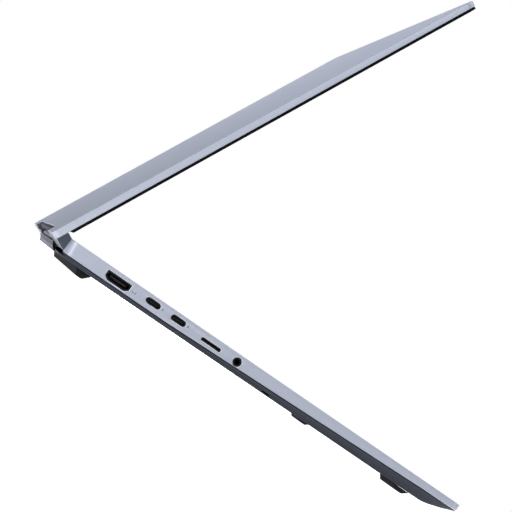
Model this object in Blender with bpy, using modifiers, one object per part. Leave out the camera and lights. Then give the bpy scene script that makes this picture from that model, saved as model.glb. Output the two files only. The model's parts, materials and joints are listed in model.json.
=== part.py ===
"""Thin aluminium laptop computer with its lid part open, built as separate pieces in metres, +Z up.

Base pieces are drawn in (x, y, z) millimetres with the deck at z = 0 and y running from the front edge
to the hinge. Lid pieces are drawn closed, in (x, u, w): u runs from the hinge axis to the lid's free
edge and w is the height above the axis. settle() then opens the lid and sets the base on its feet.
"""
import math

import bmesh
import bpy
from mathutils import Matrix

MM = 0.001
HALF_W = 179.0          # half of the body width
FRONT_Y, DEPTH = -1.4, 262.5   # base side wall, front edge and rear end
AXIS_Y, AXIS_Z = 260.7, -3.6
OPEN_DEG = 63.9         # lid angle from closed, as it stands
SLOPE_DEG = 0.444       # the deck falls towards the front by this much
REST_Z, SHIFT_Y = 13.12, 134.944
DECK_T = 1.4
WALL = 3.0
CHANNEL_Y = 256.3       # rear edge of the deck, where the hinge channel starts
SEAM_REAR, SEAM_KNEE_Y, SEAM_FALL = -8.35, 194.0, 4.45 / 185.0
FLOOR_Z, FLOOR_FALL = -10.46, -0.00236
FLARE = 2.6             # sideways run of the underside chamfer per unit of its height
LEG_X = 117.3           # inner end of each lid leg and hinge cover
COVER_X = 175.6         # outer end of each hinge cover
LID_U0, LID_U1 = -4.4, 260.0
LID_NOTCH_U = 0.5
LID_IN, LID_OUT0, LID_OUT1 = 5.4, 9.6, 8.7
BEZEL_W, BEZEL_T = 3.8, 1.4
PITCH, CAP, CAP_ROWS = 19.0, 15.8, 18.6
WEB_TOP, WEB_T, KEY_TOP, PLATE_TOP = -1.75, 0.55, -0.15, -3.9
FAN_X, FAN_Y, FAN_R = 88.0, 200.0, 24.5
SCREWS = [(150.0, 46.0), (158.0, 140.0), (150.0, 229.0)]

for old in list(bpy.data.objects):
    bpy.data.objects.remove(old, do_unlink=True)
PARTS = bpy.data.collections.new("laptop_computer")
CUTTERS = bpy.data.collections.new("cutters")
CUTTERS.hide_render = True
bpy.context.scene.collection.children.link(PARTS)
bpy.context.scene.collection.children.link(CUTTERS)


def paint(name, rgb, rough, metal):
    material = bpy.data.materials.new(name)
    material.use_nodes = True
    shader = material.node_tree.nodes["Principled BSDF"]
    shader.inputs["Base Color"].default_value = (*rgb, 1.0)
    shader.inputs["Roughness"].default_value = rough
    shader.inputs["Metallic"].default_value = metal
    return material


def node_or_cutter(name, bm, look):
    """Makes the object: a node with its material if it has a look, and otherwise a hidden cutter."""
    bmesh.ops.recalc_face_normals(bm, faces=bm.faces)
    if bm.calc_volume(signed=True) < 0:
        bmesh.ops.reverse_faces(bm, faces=bm.faces)
    mesh = bpy.data.meshes.new(name)
    bm.to_mesh(mesh)
    bm.free()
    obj = bpy.data.objects.new(name, mesh)
    if look is None:
        obj.hide_render, obj.display_type = True, "WIRE"
        CUTTERS.objects.link(obj)
    else:
        mesh.materials.append(paint(name, *look))
        PARTS.objects.link(obj)
    return obj


def loft(name, loops, look=None):
    """A closed body through a stack of unlike sections, equal loops of (x, y, z) in mm."""
    bm = bmesh.new()
    rings = [[bm.verts.new((x * MM, y * MM, z * MM)) for x, y, z in loop] for loop in loops]
    for low, high in zip(rings, rings[1:]):
        for i, vert in enumerate(low):
            j = (i + 1) % len(low)
            bm.faces.new((vert, low[j], high[j], high[i]))
    bm.faces.new(list(reversed(rings[0])))
    bm.faces.new(rings[-1])
    return node_or_cutter(name, bm, look)


def box(name, x0, x1, y0, y1, z0, z1, look=None):
    bm = bmesh.new()
    size = Matrix.Diagonal(((x1 - x0) * MM, (y1 - y0) * MM, (z1 - z0) * MM, 1.0))
    middle = Matrix.Translation(((x0 + x1) / 2 * MM, (y0 + y1) / 2 * MM, (z0 + z1) / 2 * MM))
    bmesh.ops.create_cube(bm, size=1.0, matrix=middle @ size)
    return node_or_cutter(name, bm, look)


AXES = {"X": Matrix(((0, 0, 1, 0), (1, 0, 0, 0), (0, 1, 0, 0), (0, 0, 0, 1))),   # outline in (y, z)
        "Y": Matrix(((1, 0, 0, 0), (0, 0, -1, 0), (0, 1, 0, 0), (0, 0, 0, 1))),  # outline in (x, z)
        "Z": Matrix.Identity(4)}                                                 # outline in (x, y)


def plate(name, axis, outline, low, high, look=None):
    """A flat outline as a filled 2D curve, extruded from low to high along the axis."""
    curve = bpy.data.curves.new(name, "CURVE")
    curve.dimensions, curve.fill_mode, curve.extrude = "2D", "BOTH", abs(high - low) / 2 * MM
    spline = curve.splines.new("POLY")
    spline.points.add(len(outline) - 1)
    for point, (a, b) in zip(spline.points, outline):
        point.co = (a * MM, b * MM, 0.0, 1.0)
    spline.use_cyclic_u = True
    guide = bpy.data.objects.new(name + "_outline", curve)
    CUTTERS.objects.link(guide)
    bpy.context.view_layer.update()
    mesh = bpy.data.meshes.new_from_object(guide.evaluated_get(bpy.context.evaluated_depsgraph_get()))
    bm = bmesh.new()
    bm.from_mesh(mesh)
    bmesh.ops.remove_doubles(bm, verts=bm.verts, dist=1e-6)
    middle = (low + high) / 2 * MM * (-1 if axis == "Y" else 1)
    bmesh.ops.transform(bm, matrix=AXES[axis] @ Matrix.Translation((0, 0, middle)), verts=bm.verts)
    bpy.data.objects.remove(guide, do_unlink=True)
    bpy.data.curves.remove(curve)
    bpy.data.meshes.remove(mesh)
    return node_or_cutter(name, bm, look)


def rod(name, axis, centre, r, low, high, sides=16, look=None):
    """A cylinder along the axis, its centre given in the other two coordinates."""
    bm = bmesh.new()
    middle = (low + high) / 2 * MM * (-1 if axis == "Y" else 1)
    bmesh.ops.create_cone(bm, cap_ends=True, segments=sides, radius1=r * MM, radius2=r * MM,
                          depth=abs(high - low) * MM,
                          matrix=AXES[axis] @ Matrix.Translation((centre[0] * MM, centre[1] * MM, middle)))
    return node_or_cutter(name, bm, look)


def turned(name, profile, x, y, sides, look=None):
    """A profile of (radius, height) pairs turned about the vertical through (x, y) by a Screw modifier."""
    mesh = bpy.data.meshes.new(name + "_profile")
    edges = [(i, i + 1) for i in range(len(profile) - 1)]
    mesh.from_pydata([(r * MM, 0, z * MM) for r, z in profile], edges, [])
    guide = bpy.data.objects.new(name + "_profile", mesh)
    CUTTERS.objects.link(guide)
    screw = guide.modifiers.new("Turn", "SCREW")
    screw.steps = screw.render_steps = sides
    screw.use_merge_vertices, screw.merge_threshold = True, 0.00001
    bpy.context.view_layer.update()
    made = bpy.data.meshes.new_from_object(guide.evaluated_get(bpy.context.evaluated_depsgraph_get()))
    bm = bmesh.new()
    bm.from_mesh(made)
    bmesh.ops.remove_doubles(bm, verts=bm.verts, dist=1e-6)
    bmesh.ops.translate(bm, vec=(x * MM, y * MM, 0), verts=bm.verts)
    bpy.data.objects.remove(guide, do_unlink=True)
    bpy.data.meshes.remove(made)
    return node_or_cutter(name, bm, look)


def circle(cx, cy, r, count=16):
    return [(cx + r * math.cos(2 * math.pi * i / count), cy + r * math.sin(2 * math.pi * i / count))
            for i in range(count)]


def rounded(x0, x1, y0, y1, radii, steps=5):
    """Outline of a rectangle with its own corner radius at (x0,y0), (x1,y0), (x1,y1), (x0,y1)."""
    corners = [(x0, y0, 180), (x1, y0, 270), (x1, y1, 0), (x0, y1, 90)]
    points = []
    for (x, y, start), r in zip(corners, radii):
        cx, cy = x + (r if x == x0 else -r), y + (r if y == y0 else -r)
        for i in range(steps + 1):
            a = math.radians(start + 90 * i / steps)
            points.append((cx + r * math.cos(a), cy + r * math.sin(a)))
    return points


def boolean(obj, tool, operation="DIFFERENCE"):
    modifier = obj.modifiers.new(operation, "BOOLEAN")
    modifier.operation, modifier.solver, modifier.object = operation, "EXACT", tool
    bpy.context.view_layer.update()
    graph = bpy.context.evaluated_depsgraph_get()
    made = bpy.data.meshes.new_from_object(obj.evaluated_get(graph))
    obj.modifiers.clear()
    old, obj.data = obj.data, made
    made.name = obj.name
    bpy.data.meshes.remove(old)
    bpy.data.objects.remove(tool, do_unlink=True)
    return obj


def merged(name, tools):
    """Several cutters that don't touch each other, as one mesh."""
    bm = bmesh.new()
    for tool in tools:
        bm.from_mesh(tool.data)
        bpy.data.objects.remove(tool, do_unlink=True)
    mesh = bpy.data.meshes.new(name)
    bm.to_mesh(mesh)
    bm.free()
    obj = bpy.data.objects.new(name, mesh)
    obj.hide_render, obj.display_type = True, "WIRE"
    CUTTERS.objects.link(obj)
    return obj


def seam(y):
    return SEAM_REAR + max(0.0, SEAM_KNEE_Y - y) * SEAM_FALL


def floor(y):
    return FLOOR_Z + FLOOR_FALL * y


def ground(y):
    slope = math.radians(SLOPE_DEG)
    return -(REST_Z + y * math.sin(slope)) / math.cos(slope)


def seam_wedge(name, drop, top):
    """Everything on one side of the line where side wall and bottom cover meet."""
    line = [(-6, seam(-6) - drop), (SEAM_KNEE_Y, SEAM_REAR - drop), (300, SEAM_REAR - drop)]
    far = 6 if top else -16
    return plate(name, "X", line + [(300, far), (-6, far)], -200, 200)


def key_rows():
    """Name to a list of caps (x0, x1, y0, y1) for each row of the keyboard, rear to front."""
    widths = [[1] * 14, [1] * 13 + [2], [1.5] + [1] * 12 + [1.5], [1.75] + [1] * 11 + [2.25],
              [2.25] + [1] * 10 + [2.75]]
    names = ["function_key_row", "number_key_row", "upper_letter_row", "home_letter_row", "lower_letter_row"]
    gap, rows = PITCH - CAP, {}
    for i, (name, row) in enumerate(zip(names, widths)):
        y0 = 211.5 if i == 0 else 192.2 - CAP_ROWS * (i - 1)
        y1 = y0 + (12.0 if i == 0 else 15.6)
        x, caps = -142.5, []
        for width in row:
            caps.append((x + gap / 2, x + width * PITCH - gap / 2, y0, y1))
            x += width * PITCH
        rows[name] = caps
    y0 = 192.2 - CAP_ROWS * 4
    for name, start, row in (("left_modifier_keys", 0, [1.5, 1, 1, 1.25]), ("space_bar", 4.75, [5.25]),
                             ("arrow_and_right_keys", 10, [1, 1, 1, 1, 1])):
        x, caps = -142.5 + start * PITCH, []
        for i, width in enumerate(row):
            cell = (x + gap / 2, x + width * PITCH - gap / 2)
            if name.startswith("arrow") and i == 3:
                caps += [(*cell, y0, y0 + 7.2), (*cell, y0 + 8.4, y0 + 15.6)]
            else:
                caps.append((*cell, y0, y0 + 15.6))
            x += width * PITCH
        rows[name] = caps
    return rows


def video_profile(grow):
    """(y, z) outline of the rear port, wide side up."""
    g = grow
    return [(220.1 - g, -2.4 + g), (220.1 - g, -5.7 - g * 0.4), (222.3 - g * 0.4, -7.35 - g),
            (233.0 + g * 0.4, -7.35 - g), (235.2 + g, -5.7 - g * 0.4), (235.2 + g, -2.4 + g)]


def stadium(cy, cz, width, height, steps=3):
    r = height / 2
    return rounded(cy - width / 2, cy + width / 2, cz - r, cz + r, [r * 0.96] * 4, steps)


PORTS = {  # name: (side, outline of the hole in the wall, outline of the shell, outline of its mouth)
    "video_port": (-1, video_profile(0), video_profile(-0.25), video_profile(-0.7)),
    "type_c_port_rear": (-1, stadium(205.4, -3.8, 9.2, 3.3), stadium(205.4, -3.8, 8.8, 2.9),
                        stadium(205.4, -3.8, 8.0, 2.1)),
    "type_c_port_front": (-1, stadium(188.9, -3.85, 9.2, 3.3), stadium(188.9, -3.85, 8.8, 2.9),
                         stadium(188.9, -3.85, 8.0, 2.1)),
    "memory_card_slot": (-1, rounded(160.7, 173.1, -5.5, -3.6, [0.4] * 4, 2),
                         rounded(160.95, 172.85, -5.25, -3.85, [0.3] * 4, 2),
                         rounded(161.3, 172.5, -4.95, -4.15, [0.1] * 4, 2)),
    "audio_jack": (-1, circle(149.7, -4.35, 2.55, 16), circle(149.7, -4.35, 2.3, 16),
                   circle(149.7, -4.35, 1.75, 16)),
    "type_a_port_rear": (1, rounded(218.4, 231.6, -7.0, -1.8, [0.5] * 4, 2),
                        rounded(218.7, 231.3, -6.75, -2.05, [0.4] * 4, 2),
                        rounded(219.2, 230.8, -6.3, -2.5, [0.2] * 4, 2)),
    "type_a_port_front": (1, rounded(193.4, 206.6, -7.0, -1.8, [0.5] * 4, 2),
                         rounded(193.7, 206.3, -6.75, -2.05, [0.4] * 4, 2),
                         rounded(194.2, 205.8, -6.3, -2.5, [0.2] * 4, 2)),
}
TONGUES = {"video_port": (222.6, 232.7, -5.2, -4.3), "type_c_port_rear": (202.1, 208.7, -4.15, -3.45),
           "type_c_port_front": (185.6, 192.2, -4.2, -3.5), "type_a_port_rear": (220.0, 230.0, -4.1, -2.9),
           "type_a_port_front": (195.0, 205.0, -4.1, -2.9)}
SHELL = ((0.30, 0.31, 0.33), 0.35, 0.9)
ALUMINIUM = ((0.56, 0.59, 0.66), 0.32, 0.9)
BLACK = ((0.02, 0.02, 0.022), 0.5, 0.0)
BOARD = ((0.02, 0.06, 0.05), 0.55, 0.0)
STEEL = ((0.45, 0.45, 0.47), 0.35, 0.95)


def make_top_case():
    outline = rounded(-HALF_W, HALF_W, FRONT_Y, DEPTH, [6, 6, 8, 8])
    case = plate("top_case", "Z", outline, -8.9, 0, ALUMINIUM)
    boolean(case, seam_wedge("under", 0, False))
    slant = [(260.9, 1), (260.9, 0), (262.6, -7.6), (266, -9.5), (270, 1)]
    boolean(case, plate("slant", "X", slant, -200, 200))
    boolean(case, box("well", -HALF_W + WALL, HALF_W - WALL, FRONT_Y + WALL, 254.9, -14, -DECK_T))
    boolean(case, box("lip", -HALF_W + WALL, HALF_W - WALL, 254.0, 270, -14, -2.6))
    boolean(case, box("channel", -HALF_W + WALL, HALF_W - WALL, CHANNEL_Y, 270, -6, 4))
    holes = [box("h", x0 - 0.35, x1 + 0.35, y0 - 0.35, y1 + 0.35, -4, 2)
             for caps in key_rows().values() for x0, x1, y0, y1 in caps if y1 - y0 > 8]
    x0, x1, y0, _ = key_rows()["arrow_and_right_keys"][3]
    holes.append(box("h", x0 - 0.35, x1 + 0.35, y0 - 0.35, y0 + 15.95, -4, 2))
    holes.append(box("h", 125.0, 140.8, 211.15, 223.85, -4, 2))
    holes.append(plate("h", "Z", rounded(-70.3, 70.3, 11.7, 102.3, [3.3] * 4, 3), -4, 2))
    boolean(case, merged("deck_holes", holes))
    walls = [plate("p", "X", hole, side * (HALF_W - WALL - 2), side * (HALF_W + 2))
             for side, hole, _, _ in PORTS.values()]
    boolean(case, merged("port_holes", walls))
    for sx in (-1, 1):
        for x, y in SCREWS:
            boolean(case, rod("boss", "Z", (sx * x, y), 3.0, floor(y) + 1.7, -DECK_T + 0.5), "UNION")
    drills = [rod("d", "Z", (sx * x, y), 1.35, -14, floor(y) + 6.0)
              for sx in (-1, 1) for x, y in SCREWS]
    boolean(case, merged("drills", drills))


def flare(y):
    """How far in from the side wall the flat underside starts."""
    return FLARE * (seam(y) - 0.55 - floor(y))


def hull_ring(half, y0, y1, front_r, rear_r, heights):
    """Outline with rounded corners and a knee on each side; half gives its half width at any y."""
    front, rear, points = half(y0 + front_r), half(y1 - rear_r), []
    a, b = y0 + front_r, y1 - rear_r
    for cx, cy, r, start in ((front_r - front, a, front_r, 180), (front - front_r, a, front_r, 270),
                             (rear - rear_r, b, rear_r, 0), (rear_r - rear, b, rear_r, 90)):
        if start == 0:
            points.append((half(SEAM_KNEE_Y), SEAM_KNEE_Y))
        for i in range(6):
            a = math.radians(start + 18 * i)
            points.append((cx + r * math.cos(a), cy + r * math.sin(a)))
    points.append((-half(SEAM_KNEE_Y), SEAM_KNEE_Y))
    return [(x, y, heights(y)) for x, y in points]


BELLY = [  # share of the height, sideways bulge, front edge, rear edge and corner radii of each ring
    (0.0, 0.0, 14.6, 261.1, 5.0, 7.0), (0.14, 0.05, 10.6, 261.4, 5.5, 7.4),
    (0.55, 0.05, 4.0, 262.0, 5.8, 7.8),
    (1.0, 0.0, FRONT_Y + 0.25, 262.6, 6.0, 8.0)]


def cover_loops(inset, lift, top_z):
    """Rings of the bottom cover's outer skin, or of its inner skin if inset, from the floor up."""
    side, rings = HALF_W - 0.25 - inset, []
    for part, bulge, front, rear, front_r, rear_r in BELLY:
        def half(y, part=part, bulge=bulge):
            return side - flare(y) * (1 - part - bulge)

        def height(y, part=part):
            return floor(y) + (seam(y) - 0.55 - floor(y)) * part + lift * (1 - 0.6 * part)
        rings.append(hull_ring(half, front + inset, rear - inset, front_r, rear_r, height))
    rings.append(hull_ring(lambda y: side, FRONT_Y + 0.25 + inset, 262.6 - inset, 6.0, 8.0, lambda y: top_z))
    return rings


def make_bottom_cover():
    cover = loft("bottom_cover", cover_loops(0, 0, -2.0), ((0.10, 0.105, 0.125), 0.45, 0.6))
    boolean(cover, seam_wedge("over", 0.25, True))
    boolean(cover, loft("inside", cover_loops(1.3, 1.1, 6.0)))
    boolean(cover, box("swing", -COVER_X - 0.3, COVER_X + 0.3, 254.5, 270, -9.68, 4))
    boolean(cover, box("behind", -LEG_X + 0.6, LEG_X - 0.6, 260.6, 270, -14, 4))
    slots = [plate("s", "Z", rounded(x - 1.0, x + 1.0, 176, 224, [0.8] * 4, 1), -14, -7)
             for side in (-1, 1) for x in [side * (66 + 6.2 * i) for i in range(8)]]
    boolean(cover, merged("intakes", slots))
    rear = [plate("t", "Z", rounded(x - 12, x + 12, 158, 160, [0.8] * 4, 1), -14, -7)
            for x in [-105 + 30 * i for i in range(8)]]
    rear += [plate("t", "Z", rounded(x - 11, x + 11, y - 0.9, y + 0.9, [0.7] * 4, 1), -14, -7)
             for x in (-146, 146) for y in (76, 81, 86, 91)]
    boolean(cover, merged("speaker_slots", rear))
    mouth = plate("m", "X", rounded(123.0, 128.4, -10.0, -9.2, [0.35] * 4, 2), -185, -160)
    boolean(cover, mouth)
    holes = [rod("q", "Z", (sx * x, y), r, floor(y) - 3, floor(y) + top)
             for sx in (-1, 1) for x, y in SCREWS for r, top in ((1.5, 3.0),)]
    boolean(cover, merged("screw_holes", holes))
    sinks = [rod("q", "Z", (sx * x, y), 2.6, floor(y) - 3, floor(y) + 0.55)
             for sx in (-1, 1) for x, y in SCREWS]
    boolean(cover, merged("screw_sinks", sinks))
    names = ["front", "middle", "rear"]
    for side, sx in (("left", -1), ("right", 1)):
        for name, (x, y) in zip(names, SCREWS):
            z = floor(y)
            profile = [(0, z + 4.6), (1.1, z + 4.6), (1.1, z + 0.45), (2.3, z + 0.45), (2.3, z + 0.05),
                       (0, z + 0.05)]
            turned(f"bottom_screw_{name}_{side}", profile, sx * x, y, 12, STEEL)


def make_rear_grille():
    profile = [(0.15, -7.4), (1.9, -7.0), (3.4, -5.2), (4.8, -3.1), (4.9, -2.75), (4.1, -2.75), (3.9, -3.2),
               (2.55, -5.1), (1.6, -5.5), (-5.0, -5.5), (-5.0, -6.05), (0.15, -6.05)]
    world = [(AXIS_Y + y, AXIS_Z + z) for y, z in profile]
    grille = plate("rear_grille", "X", world, -LEG_X + 0.9, LEG_X - 0.9, ((0.50, 0.52, 0.58), 0.4, 0.9))
    slots = []
    for low, high, count in ((-5.0, -4.3, 24), (-3.95, -3.27, 23)):
        for i in range(count):
            x = 9.6 * (i - (count - 1) / 2)
            slots.append(
                box("v", x - 2.8, x + 2.8, AXIS_Y + 1.9, AXIS_Y + 9, AXIS_Z + low, AXIS_Z + high))
    boolean(grille, merged("vents", slots))


def make_feet():
    look = ((0.03, 0.03, 0.032), 0.85, 0.0)
    top = rounded(-157.6, 157.6, 238.6, 248.7, [2.5] * 4, 3)
    low = rounded(-155.6, 155.6, 242.85, 246.5, [1.2] * 4, 3)
    loft("rear_foot", [[(x, y, ground(y)) for x, y in low], [(x, y, floor(y) - 0.15) for x, y in top]], look)
    for side, sx in (("left", -1), ("right", 1)):
        a, b = sorted((sx * 119.1, sx * 159.2))
        top = rounded(a, b, 20.6, 31.4, [4.0] * 4, 4)
        low = rounded(a + 2.2, b - 2.2, 24.8, 29.4, [1.7] * 4, 4)
        rings = [(x, y, ground(y)) for x, y in low], [(x, y, floor(y) - 0.15) for x, y in top]
        loft(f"front_foot_{side}", rings, look)


def make_keyboard():
    base = box("keyboard_plate", -146, 146, 113.5, 227, PLATE_TOP - 0.7, PLATE_TOP, STEEL)
    boolean(base, box("space", -146.5, -141, 110, 118, -6, -3))
    key = ((0.13, 0.135, 0.15), 0.55, 0.0)
    for name, caps in key_rows().items():
        x0, x1 = min(c[0] for c in caps), max(c[1] for c in caps)
        y0, y1 = min(c[2] for c in caps), max(c[3] for c in caps)
        trim = 0.5 if len(caps) > 1 else 0.0
        row = box(name, x0 + trim, x1 - trim, y0 + 2.0, y1 - 2.0, WEB_TOP - WEB_T, WEB_TOP, key)
        lids = []
        for a, b, c, d in caps:
            low = [(a, c), (b, c), (b, d), (a, d)]
            top = [(a + 0.3, c + 0.3), (b - 0.3, c + 0.3), (b - 0.3, d - 0.3), (a + 0.3, d - 0.3)]
            cap = [[(x, y, WEB_TOP - 0.2) for x, y in low], [(x, y, KEY_TOP) for x, y in top]]
            lids.append(loft("c", cap))
        boolean(row, merged("lids", lids), "UNION")
    outline = rounded(125.35, 140.45, 211.5, 223.5, [0.8] * 4, 1)
    button = plate("power_button", "Z", outline, -2.4, KEY_TOP, key)
    boolean(button, box("stem", 128, 138, 214, 221, -3.1, -2.2), "UNION")


def make_touchpad():
    pad = plate("touchpad", "Z", rounded(-70, 70, 12, 102, [3.0] * 4, 3), -1.2, -0.12,
                ((0.50, 0.53, 0.60), 0.35, 0.2))
    boolean(pad, box("board", -64, 64, 18, 96, -2.1, -1.0), "UNION")


def make_ports():
    for name, (side, _, shell, mouth) in PORTS.items():
        out, back = side * (HALF_W - 0.35), side * (HALF_W - WALL - 10)
        port = plate(name, "X", shell, back, out, SHELL if name != "audio_jack" else BLACK)
        boolean(port, plate("mouth", "X", mouth, side * (HALF_W - WALL - 9), side * (HALF_W + 3)))
        if name in TONGUES:
            y0, y1, z0, z1 = TONGUES[name]
            a, b = sorted((side * (HALF_W - WALL - 9.4), side * (HALF_W - 1.6)))
            boolean(port, box("tongue", a, b, y0, y1, z0, z1), "UNION")


def make_inside():
    board = box("main_board", -168, 168, 134, 236, -8.3, -7.5, BOARD)
    bays = [box("bay", s * 88 - 30, s * 88 + 30, 170, 240, -12, -4) for s in (-1, 1)]
    notches = [rod("n", "Z", (s * x, y), 4.0, -12, -4) for s in (-1, 1) for x, y in SCREWS[1:]]
    boolean(board, merged("bays", bays))
    boolean(board, merged("notches", notches))
    pack = box("battery_pack", -125, 125, 24, 108, -9.1, -3.0, ((0.05, 0.05, 0.055), 0.5, 0.0))
    grooves = [box("g", x - 0.8, x + 0.8, 20, 112, -3.7, -2) for x in (-62.5, 0, 62.5)]
    boolean(pack, merged("grooves", grooves))
    pipe = box("heat_pipe", -112, 112, 238, 245, -5.7, -4.5, ((0.75, 0.40, 0.25), 0.3, 1.0))
    boolean(pipe, box("stem", -11, 11, 200, 240, -5.6, -4.9), "UNION")
    boolean(pipe, box("die", -19, 19, 186, 214, -7.25, -5.2), "UNION")
    card = box("ssd_module", -40, 40, 138, 160, -7.2, -6.5, BOARD)
    chips = [box("c", x - 8, x + 8, 141, 157, -6.7, -5.4) for x in (-26, -5, 20)]
    boolean(card, merged("chips", chips), "UNION")
    radio = box("wireless_card", 66, 88, 137, 167, -7.2, -6.6, BOARD)
    boolean(radio, box("can", 68, 86, 141, 165, -6.8, -5.6), "UNION")
    for side, sx in (("left", -1), ("right", 1)):
        a, b = sorted((sx * 132, sx * 159))
        speaker = box(f"speaker_{side}", a, b, 58, 112, -8.9, -3.0, BLACK)
        boolean(speaker, rod("cone", "Z", (sx * 145.5, 86), 10, -4.0, 0))
        a, b = sorted((sx * 60, sx * 116))
        housing = box(f"fan_housing_{side}", a, b, 172, 228, -9.6, -5.1, BLACK)
        boolean(housing, rod("cave", "Z", (sx * FAN_X, FAN_Y), FAN_R + 1.2, -9.1, -5.6))
        boolean(housing, rod("inlet", "Z", (sx * FAN_X, FAN_Y), 15, -12, -8))
        boolean(housing, box("outlet", a + 2, b - 2, FAN_Y + 8, 240, -9.05, -5.65))
        boolean(housing, rod("post", "Z", (sx * FAN_X, FAN_Y), 1.5, -8.6, -5.3), "UNION")
        rotor_outline = []
        for i in range(13):
            a0 = 2 * math.pi * i / 13
            for r, turn in ((9.0, -0.12), (9.0, 0.05), (17.0, 0.22), (FAN_R, 0.46), (FAN_R, 0.51),
                            (17.0, 0.29), (9.0, 0.14)):
                rotor_outline.append((sx * FAN_X + r * math.cos(a0 + turn), FAN_Y + r * math.sin(a0 + turn)))
        rotor = plate(f"fan_rotor_{side}", "Z", rotor_outline, -8.6, -6.0, BLACK)
        boolean(rotor, rod("bore", "Z", (sx * FAN_X, FAN_Y), 1.58, -12, -4))
        fins = []
        for i in range(15):
            x = sx * FAN_X - 28 + i * 3.95
            fins += [(x, -6.5), (x, -9.6), (x + 0.7, -9.6), (x + 0.7, -6.5)]
        fins = fins[1:-1] + [(fins[-1][0], -5.95), (fins[0][0], -5.95)]
        plate(f"heat_sink_{side}", "Y", fins, 231, 253, ((0.65, 0.55, 0.45), 0.35, 1.0))


def make_base_hinges():
    for side, sx in (("left", -1), ("right", 1)):
        a, b = sorted((sx * 128, sx * 160))
        bracket = box(f"hinge_bracket_{side}", a, b, 233, 252, -4.2, -3.0, STEEL)
        a, b = sorted((sx * 138, sx * 148))
        boolean(bracket, box("arm", a, b, 250, AXIS_Y, -4.2, -3.0), "UNION")
        boolean(bracket, rod("barrel", "X", (AXIS_Y, AXIS_Z), 2.4, a, b), "UNION")
        boolean(bracket, rod("bore", "X", (AXIS_Y, AXIS_Z), 1.26, a - 1, b + 1))


def lid(x, u, w):
    return (x, AXIS_Y - u, AXIS_Z + w)


def lid_slab(name, outline, low, high, look=None):
    """A slab over an (x, u) outline, flat or with its upper side following a function of u."""
    if callable(high):
        loops = [lid(x, u, low) for x, u in outline], [lid(x, u, high(u)) for x, u in outline]
        return loft(name, loops, look)
    flat = [(x, AXIS_Y - u) for x, u in outline]
    return plate(name, "Z", flat, AXIS_Z + low, AXIS_Z + high, look)


def lid_box(name, x0, x1, u0, u1, w0, w1, look=None):
    return box(name, x0, x1, AXIS_Y - u1, AXIS_Y - u0, AXIS_Z + w0, AXIS_Z + w1, look)


def outer_skin(u):
    return LID_OUT0 + (LID_OUT1 - LID_OUT0) * u / LID_U1


def make_lid():
    outline = rounded(-HALF_W, HALF_W, LID_U0, LID_U1, [3, 3, 6, 6])
    cover = lid_slab("lid_cover", outline, LID_IN, outer_skin, ALUMINIUM)
    boolean(cover, lid_box("recess", -LEG_X + 0.3, LEG_X - 0.3, -20, LID_NOTCH_U, 0, 20))
    inner = rounded(-HALF_W + WALL, HALF_W - WALL, 3.6, LID_U1 - WALL, [1, 1, 3.5, 3.5], 3)
    boolean(cover, lid_slab("tray", inner, 2.0, lambda u: outer_skin(u) - 1.0))
    windows = []
    for sx in (-1, 1):
        a, b = sorted((sx * 121.5, sx * 151.5))
        windows.append(lid_box("w", a, b, -2.0, 8.0, 2.0, 8.45))
    boolean(cover, merged("windows", windows))
    look = ((0.05, 0.05, 0.055), 0.5, 0.0)
    lid_box("antenna_strip", -LEG_X + 0.6, LEG_X - 0.6, -1.5, 0.25, 5.9, 9.25, look)
    frame = rounded(-HALF_W + 0.25, HALF_W - 0.25, 5.5, LID_U1 - 0.25, [2, 2, 5.8, 5.8])
    bezel = lid_slab("display_bezel", frame, BEZEL_W, BEZEL_W + BEZEL_T, BLACK)
    boolean(bezel, lid_box("view", -172.35, 172.35, 34.7, 250.1, 0, 9))
    boolean(bezel, lid_box("pocket", -174.8, 174.8, 31.7, 252.7, 4.7, 9))
    boolean(bezel, lid_slab("lens_hole", circle(0, 255.1, 1.7, 14), 0, 9))
    lid_box("display_panel", -174.4, 174.4, 32.2, 252.2, 4.9, 6.9, ((0.01, 0.01, 0.012), 0.2, 0.0))
    webcam = lid_box("webcam_module", -16, 16, 253.5, 256.5, 5.4, 7.3, BLACK)
    boolean(webcam, lid_slab("barrel", circle(0, 255.1, 1.4, 14), 4.1, 6.0), "UNION")


def u_profile(rear, front, depth, top, steps=8):
    """(u, w) outline of a trough: straight sides above a half ellipse under the axis."""
    arc = []
    for i in range(steps + 1):
        a = math.pi * i / steps
        arc.append((-(rear if i < steps / 2 else front) * math.cos(a), -depth * math.sin(a)))
    return [(-rear, top)] + arc + [(front, top)]


def lid_along_x(name, profile, x0, x1, look=None):
    return plate(name, "X", [(AXIS_Y - u, AXIS_Z + w) for u, w in profile], x0, x1, look)


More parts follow.
